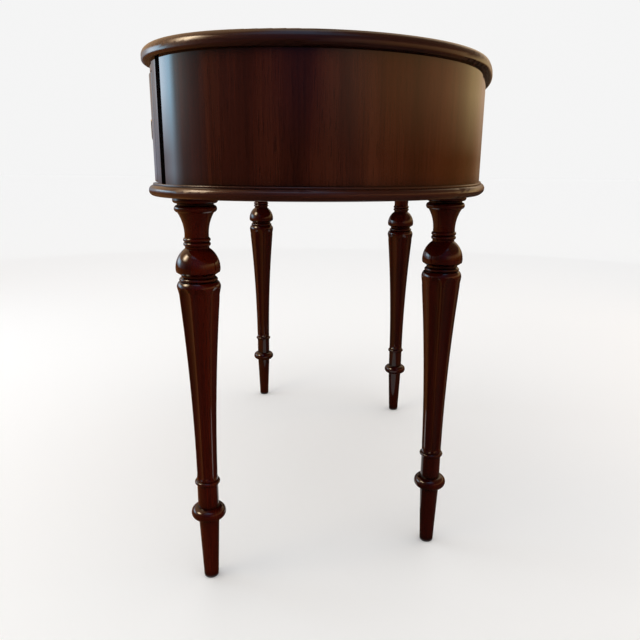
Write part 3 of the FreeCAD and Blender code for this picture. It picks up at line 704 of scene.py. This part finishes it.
class DESK_OT_finish_legs(bpy.types.Operator):
    """Cuts the flutes of the turned legs up into the shoulder and polishes the legs"""

    bl_idname = "desk.finish_legs"
    bl_label = "Finish legs"

    def execute(self, context):
        settings = context.scene.kidney_desk
        wood = settings.mahogany
        model = self.fluted_leg(settings.legs)
        for index, (node, turn) in enumerate(LEG_TURNS):
            leg = self.placed_leg(model, node, math.radians(turn))
            grain = straight_grain(UPRIGHT, 3.0 + index)
            finish = mahogany("mahogany_" + node, wood, grain, stain=tuple(wood.leg_stain))
            leg.data.materials.append(finish)
            put_in_place(leg, node)
        bpy.data.objects.remove(model)
        return {"FINISHED"}

    def axis(self, node):
        """Where a leg's axis meets the floor."""
        low, high = (Vector(corner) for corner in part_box(node))
        middle = (low + high) / 2
        return Vector((middle.x, middle.y, 0.0))

    def fluted_leg(self, sizes):
        """The model leg with its flutes cut wider and longer."""
        leg = merged_copy(MODEL_LEG, "leg_model")
        cutter = self.flute_cutter(sizes)
        cutter.location = self.axis(MODEL_LEG)
        for index in range(FLUTE_COUNT):
            cutter.rotation_euler.z = math.tau * index / FLUTE_COUNT
            bpy.context.view_layer.update()
            select_only(leg)
            hollow = leg.modifiers.new("hollow", "BOOLEAN")
            hollow.operation = "DIFFERENCE"
            hollow.solver = "EXACT"
            hollow.object = cutter
            bpy.ops.object.modifier_apply(modifier=hollow.name)
        bpy.data.objects.remove(cutter)
        bpy.ops.object.mode_set(mode="EDIT")
        bpy.ops.mesh.select_all(action="SELECT")
        bpy.ops.mesh.remove_doubles(threshold=CUT_REACH)
        bpy.ops.object.mode_set(mode="OBJECT")
        bpy.ops.object.shade_smooth_by_angle(angle=SMOOTH_TURN)
        return leg

    def shaft_radius(self, height):
        """Radius of the shaft at a height, from its three known radii."""
        part = (height - SHAFT_FOOT) / (SHAFT_HEAD - SHAFT_FOOT)
        foot, middle, head = SHAFT_RADII
        bend = 2 * (foot + head - 2 * middle)
        return foot + (head - foot - bend) * part + bend * part * part

    def flute_rings(self, sizes):
        """Rings of a flute's cutter, foot to head: distance from the leg's axis, height and radius."""
        half = sizes.flute_half_angle
        floor = 1 - sizes.flute_depth
        rise = math.cos(half) - floor
        section = (math.sin(half) ** 2 + rise ** 2) / (2 * rise)
        foot = SHAFT_FOOT + sizes.flute_lift
        head = SHAFT_HEAD - sizes.flute_drop
        rings = []
        for index in range(FLUTE_RINGS):
            height = foot + (head - foot) * index / (FLUTE_RINGS - 1)
            radius = self.shaft_radius(height)
            rings.append(((floor + section) * radius, height, section * radius))
        below = self.round_end(*rings[0], -1)
        above = self.round_end(*rings[-1], 1)
        return [*reversed(below), *rings, *above]

    def round_end(self, reach, height, radius, way):
        """Rings that close the cutter's last one to a round end, down or up."""
        rings = []
        for index in range(1, FLUTE_END_RINGS + 1):
            lean = FLUTE_END_LEAN * index / FLUTE_END_RINGS
            rings.append((reach, height + way * radius * math.sin(lean), radius * math.cos(lean)))
        return rings

    def flute_cutter(self, sizes):
        """A round-ended rod that swells with the shaft, drawn ring by ring."""
        rings = self.flute_rings(sizes)
        reach, height, radius = rings[0]
        bpy.ops.object.select_all(action="DESELECT")
        bpy.ops.mesh.primitive_circle_add(vertices=FLUTE_SIDES, radius=radius)
        cutter = bpy.context.active_object
        bpy.ops.object.mode_set(mode="EDIT")
        bpy.ops.mesh.select_all(action="SELECT")
        bpy.ops.transform.translate(value=(reach, 0.0, height))
        for there, above, swell in rings[1:]:
            step = (there - reach, 0.0, above - height)
            bpy.ops.mesh.extrude_region_move(TRANSFORM_OT_translate={"value": step})
            bpy.ops.transform.resize(value=(swell / radius, swell / radius, 1.0))
            reach, height, radius = there, above, swell
        bpy.ops.mesh.select_all(action="SELECT")
        bpy.ops.mesh.fill_holes(sides=0)
        bpy.ops.mesh.select_all(action="SELECT")
        bpy.ops.mesh.normals_make_consistent(inside=False)
        bpy.ops.object.mode_set(mode="OBJECT")
        return cutter

    def placed_leg(self, model, node, turn):
        """A copy of the finished leg with its own mesh, turned about its axis and moved to its place."""
        leg = copied_piece(model, "fluted_" + node)
        home = self.axis(MODEL_LEG)
        bpy.ops.object.mode_set(mode="EDIT")
        bpy.ops.mesh.select_all(action="SELECT")
        bpy.ops.transform.rotate(value=-turn, orient_axis="Z", center_override=home)
        bpy.ops.transform.translate(value=self.axis(node) - home)
        bpy.ops.object.mode_set(mode="OBJECT")
        return leg


class DESK_OT_finish_drawers(bpy.types.Operator):
    """Polishes the drawer fronts and planes the boxes behind them"""

    bl_idname = "desk.finish_drawers"
    bl_label = "Finish drawers"

    def execute(self, context):
        settings = context.scene.kidney_desk
        sides = inside_wood("drawer_sides", settings.inside, FRONT_TO_BACK)
        backs = inside_wood("drawer_backs", settings.inside, LENGTHWAYS, 1.0)
        bottoms = inside_wood("drawer_bottoms", settings.inside, LENGTHWAYS, 2.0)
        for index, side in enumerate(SIDES):
            drawer = side + "_drawer"
            grain = straight_grain(UPRIGHT, 15.0 + index)
            dress(drawer + "_front", mahogany("mahogany_" + drawer, settings.mahogany, grain))
            dress(drawer + "_left_side", sides)
            dress(drawer + "_right_side", sides)
            dress(drawer + "_back", backs)
            dress(drawer + "_bottom", bottoms)
        return {"FINISHED"}


class DESK_OT_finish_inside(bpy.types.Operator):
    """Planes the partitions, runners and blocks inside the case"""

    bl_idname = "desk.finish_inside"
    bl_label = "Finish inside"

    def execute(self, context):
        settings = context.scene.kidney_desk
        runners = inside_wood("runner_wood", settings.inside, FRONT_TO_BACK, 3.0)
        blocks = inside_wood("block_wood", settings.inside, LENGTHWAYS, 4.0)
        for node in ("right_partition", "left_partition", "drawer_guides", "drawer_kickers"):
            dress(node, runners)
        for node in ("drawer_stops", "top_glue_blocks"):
            dress(node, blocks)
        dress("top_screws", plain_steel("screw_steel", settings.metal))
        return {"FINISHED"}


class DESK_OT_finish_pulls(bpy.types.Operator):
    """Ages the brass of the pulls"""

    bl_idname = "desk.finish_pulls"
    bl_label = "Finish pulls"

    def execute(self, context):
        metal = context.scene.kidney_desk.metal
        brass = aged_brass("aged_brass", metal)
        steel = plain_steel("nut_steel", metal)
        for side in SIDES:
            for piece in ("rosettes", "posts", "bail"):
                dress(side + "_pull_" + piece, brass)
            dress(side + "_pull_nuts", steel)
        return {"FINISHED"}


def remove_starting_objects():
    """Takes out what Blender's own starting scene holds."""
    kept = set(frame["nodes"].values()) | set(frame["bodies"].values())
    for obj in list(bpy.data.objects):
        if obj not in kept:
            bpy.data.objects.remove(obj)


FLOOR_SIZE = 60.0
SENSOR_WIDTH = 36.0
# Colours of the three lamps, and the point on the desk that they face
COOL = (0.78, 0.90, 1.0)
WARM = (1.0, 0.62, 0.30)
AMBER = (1.0, 0.86, 0.66)
LAMP_AIM = (0.45, 0.0, 0.65)
# The surround, a glowing set that is no lamp and paints reflections into the polish: a flat skirt just off
# the floor, a wall, and a roof that closes to a share of its width
SURROUND_SIDES = 96
SKIRT_LIFT = 0.004
SKIRT_RADIUS = 0.25
SURROUND_RADIUS = 3.6
SURROUND_HEIGHT = 4.4
ROOF_RISE = 2.5
ROOF_SHARE = 0.35
GLOW_STRENGTH = 28.0
# Painted reflections: radiance that the polish mirrors, by bearing from +X in degrees, on the skirt and up
# the wall
SKIRT_GLOW = {
    -180: (0.02, 0.010, 0.004), -130: (0.22, 0.08, 0.015), -110: (0.44, 0.15, 0.02), -75: (0.40, 0.14, 0.02),
    -45: (0.20, 0.07, 0.012), -20: (0.03, 0.01, 0.003), 20: (0.02, 0.01, 0.004), 45: (0.08, 0.05, 0.04),
    70: (0.05, 0.03, 0.02), 100: (0.25, 0.10, 0.03), 130: (0.05, 0.022, 0.008), 180: (0.02, 0.010, 0.004),
}
LOW_GLOW = {
    -180: (0.10, 0.09, 0.08), -121: (0.6, 0.65, 0.8), -107: (0.9, 1.0, 1.2), -93: (1.9, 2.4, 2.9),
    -86: (1.0, 1.2, 1.4), -79: (0.5, 0.45, 0.45), -66: (0.30, 0.25, 0.25), -50: (0.05, 0.04, 0.03),
    -20: (0.01, 0.01, 0.01), 9: (0.02, 0.01, 0.01), 28: (0.22, 0.10, 0.06), 50: (0.40, 0.14, 0.03),
    92: (0.40, 0.13, 0.01), 122: (0.36, 0.14, 0.03), 152: (0.25, 0.13, 0.06), 180: (0.10, 0.09, 0.08),
}
HIGH_GLOW = {
    -180: (0.2, 0.17, 0.15), -142: (0.5, 0.42, 0.38), -125: (0.9, 0.9, 0.95), -110: (4.2, 5.0, 5.8),
    -93: (3.3, 5.5, 7.1), -86: (1.1, 1.6, 1.8), -79: (0.9, 1.0, 1.0), -66: (0.45, 0.45, 0.45),
    -50: (0.10, 0.09, 0.08), -20: (0.01, 0.02, 0.04), 0: (0.01, 0.03, 0.10), 9: (0.03, 0.04, 0.10),
    28: (0.62, 0.36, 0.24), 50: (1.00, 0.48, 0.18), 92: (1.2, 0.66, 0.28), 122: (1.33, 0.93, 0.42),
    152: (0.6, 0.4, 0.25), 180: (0.2, 0.17, 0.15),
}
TOP_GLOW = {
    -180: (0.3, 0.2, 0.12), -121: (1.25, 0.78, 0.42), -79: (1.0, 0.62, 0.32), -50: (0.35, 0.18, 0.08),
    -20: (0.06, 0.06, 0.12), 9: (0.03, 0.05, 0.14), 50: (0.12, 0.06, 0.03), 92: (0.14, 0.08, 0.03),
    122: (0.20, 0.12, 0.06), 148: (1.30, 0.95, 0.62), 172: (0.3, 0.2, 0.12), 180: (0.3, 0.2, 0.12),
}
# Its peak near -71 degrees paints the golden highlight on the moulded edges and the domes
SUN_GLOW = {
    -180: (0.3, 0.2, 0.12), -121: (1.25, 0.78, 0.42), -94: (1.1, 0.7, 0.38), -84: (6.0, 4.4, 2.6),
    -71: (28.0, 22.4, 15.4), -58: (6.0, 4.4, 2.6), -48: (0.35, 0.18, 0.08), -20: (0.06, 0.06, 0.12),
    9: (0.03, 0.05, 0.14), 50: (0.12, 0.06, 0.03), 92: (0.16, 0.09, 0.04), 122: (0.22, 0.13, 0.06),
    148: (1.30, 0.95, 0.62), 172: (0.3, 0.2, 0.12), 180: (0.3, 0.2, 0.12),
}
ROOF_GLOW = {**TOP_GLOW, -20: (0.30, 0.60, 0.96), 9: (0.26, 0.68, 1.12)}
# Each row of glow above the skirt, with the heights on the wall between which it takes over
GLOW_ROWS = (
    (LOW_GLOW, 0.40, 0.55),
    (HIGH_GLOW, 0.66, 1.06),
    (TOP_GLOW, 1.30, 1.80),
    (SUN_GLOW, 1.90, 2.60),
    (ROOF_GLOW, 3.70, 4.30),
)


class DESK_OT_set_stage(bpy.types.Operator):
    """Sets the floor, surround, sky, lamps and camera"""

    bl_idname = "desk.set_stage"
    bl_label = "Set stage"

    def execute(self, context):
        scene = context.scene
        stage = scene.kidney_desk.stage
        scene.view_settings.view_transform = "Standard"
        self.set_floor(stage)
        self.set_surround(stage)
        self.set_sky(scene, stage)
        self.set_lamp("window_lamp", stage.window_power, COOL, place=(-0.45, -2.4, 0.9), size=(0.9, 1.5))
        self.set_lamp("hearth_lamp", stage.hearth_power, WARM, place=(-0.35, 2.4, 0.8), size=(1.3, 1.3))
        self.set_lamp("lantern_lamp", stage.lantern_power, AMBER, place=(1.03, -1.64, 2.2), size=(0.9, 0.4))
        self.set_camera(scene, stage)
        return {"FINISHED"}

    def set_floor(self, stage):
        bpy.ops.mesh.primitive_plane_add(size=FLOOR_SIZE)
        floor = bpy.context.active_object
        floor.name = "studio_floor"
        shader = Shader("studio_floor")
        shader.set(Base_Color=(*stage.floor_tone, 1.0), Roughness=0.9)
        floor.data.materials.append(shader.material)

    def set_surround(self, stage):
        """Painted reflections: a dark round wall and skirt with soft glows, no lamp, which only the polish
        mirrors. It shades nothing.
        """
        bpy.ops.mesh.primitive_circle_add(
            vertices=SURROUND_SIDES, radius=SKIRT_RADIUS, location=(0.0, 0.0, SKIRT_LIFT))
        surround = bpy.context.active_object
        surround.name = "studio_surround"
        spread = SURROUND_RADIUS / SKIRT_RADIUS
        bpy.ops.object.mode_set(mode="EDIT")
        bpy.ops.mesh.select_all(action="SELECT")
        bpy.ops.mesh.extrude_region_move()
        bpy.ops.transform.resize(value=(spread, spread, 1.0))
        bpy.ops.mesh.extrude_region_move(TRANSFORM_OT_translate={"value": (0.0, 0.0, SURROUND_HEIGHT)})
        bpy.ops.mesh.extrude_region_move(TRANSFORM_OT_translate={"value": (0.0, 0.0, ROOF_RISE)})
        bpy.ops.transform.resize(value=(ROOF_SHARE, ROOF_SHARE, 1.0))
        bpy.ops.object.mode_set(mode="OBJECT")
        surround.data.materials.append(self.surround_finish(stage))
        surround.visible_camera = False
        surround.visible_diffuse = False
        surround.visible_shadow = False

    def surround_finish(self, stage):
        """Painted reflections: glows by bearing and height, faint along the skirt."""
        shader = Shader("studio_surround")
        at = shader.place()
        bearing = shader.add("TexGradient", gradient_type="RADIAL")
        shader.feed_all(bearing, Vector=at)
        reach = shader.add("VectorMath", operation="LENGTH")
        shader.feed(reach.inputs[0], shader.mapped(at, scale=IN_PLAN))
        rise = shader.math("ADD", reach.outputs["Value"], shader.parts(at)["Z"])
        glow = self.glow_ramp(shader, bearing.outputs["Fac"], SKIRT_GLOW)
        for row, foot, head in GLOW_ROWS:
            fade = shader.spread(rise, From_Min=SURROUND_RADIUS + foot, From_Max=SURROUND_RADIUS + head)
            glow = shader.blend("MIX", glow, self.glow_ramp(shader, bearing.outputs["Fac"], row), fade)
        shader.set(Base_Color=(*stage.surround_tone, 1.0), Roughness=1.0,
                   Emission_Color=glow, Emission_Strength=GLOW_STRENGTH)
        return shader.material

    def glow_ramp(self, shader, bearing, row):
        """A row of glow round the whole wall."""
        stops = []
        for turn, radiance in row.items():
            stops.append((turn / 360 + 0.5, tuple(part / GLOW_STRENGTH for part in radiance)))
        return shader.ramp(bearing, stops)

    def set_sky(self, scene, stage):
        """An even sky, seen a shade darker than it lights, so that it meets the floor without a line."""
        world = bpy.data.worlds.new("studio_sky")
        world.use_nodes = True
        nodes = Nodes(world.node_tree)
        ray = nodes.add("LightPath").outputs
        mirrored = nodes.math("MAXIMUM", ray["Is Glossy Ray"], ray["Is Transmission Ray"])
        seen = nodes.math("MAXIMUM", ray["Is Camera Ray"], mirrored)
        colour = nodes.blend("MIX", (*stage.sky_tone, 1.0), (*stage.backdrop_tone, 1.0), seen)
        nodes.feed_all(world.node_tree.nodes["Background"], Color=colour)
        scene.world = world

    def set_lamp(self, name, watts, colour, place, size):
        """A soft rectangle of light, which shows only in what it lights."""
        bpy.ops.object.light_add(type="AREA", location=place)
        lamp = bpy.context.active_object
        lamp.name = name
        lamp.rotation_euler = (Vector(LAMP_AIM) - Vector(place)).to_track_quat("-Z", "Y").to_euler()
        lamp.data.shape = "RECTANGLE"
        lamp.data.size, lamp.data.size_y = size
        lamp.data.energy = watts
        lamp.data.color = colour
        lamp.visible_camera = False
        lamp.visible_glossy = False

    def set_camera(self, scene, stage):
        bpy.ops.object.camera_add(location=stage.camera_place, rotation=stage.camera_turn)
        camera = bpy.context.active_object
        camera.name = "end_view"
        camera.data.sensor_width = SENSOR_WIDTH
        camera.data.lens = stage.lens
        camera.data.shift_y = stage.view_lift
        scene.camera = camera


class DESK_PT_sidebar(bpy.types.Panel):
    """Lists the desk's settings and steps"""

    bl_idname = "DESK_PT_sidebar"
    bl_label = "Kidney desk"
    bl_space_type = "VIEW_3D"
    bl_region_type = "UI"
    bl_category = "Desk"

    def draw(self, context):
        settings = context.scene.kidney_desk
        for group_name in DeskSettings.__annotations__:
            group = getattr(settings, group_name)
            box = self.layout.box()
            box.label(text=group_name.capitalize())
            for setting in type(group).__annotations__:
                box.prop(group, setting)
        for step in STEPS:
            self.layout.operator(step.bl_idname)


STEPS = (
    DESK_OT_finish_top,
    DESK_OT_finish_base,
    DESK_OT_finish_case,
    DESK_OT_finish_legs,
    DESK_OT_finish_drawers,
    DESK_OT_finish_inside,
    DESK_OT_finish_pulls,
    DESK_OT_set_stage,
)
GROUPS = (
    MahoganySettings, InsideSettings, MetalSettings, TopSettings, LegSettings, StageSettings, DeskSettings)
CLASSES = (*GROUPS, *STEPS, DESK_PT_sidebar)


def register():
    for cls in CLASSES:
        bpy.utils.register_class(cls)
    bpy.types.Scene.kidney_desk = bpy.props.PointerProperty(type=DeskSettings)


def unregister():
    del bpy.types.Scene.kidney_desk
    for cls in reversed(CLASSES):
        bpy.utils.unregister_class(cls)


def main():
    remove_starting_objects()
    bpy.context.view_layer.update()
    register()
    bpy.ops.desk.finish_top()
    bpy.ops.desk.finish_base()
    bpy.ops.desk.finish_case()
    bpy.ops.desk.finish_legs()
    bpy.ops.desk.finish_drawers()
    bpy.ops.desk.finish_inside()
    bpy.ops.desk.finish_pulls()
    bpy.ops.desk.set_stage()


if __name__ == "__main__":
    main()
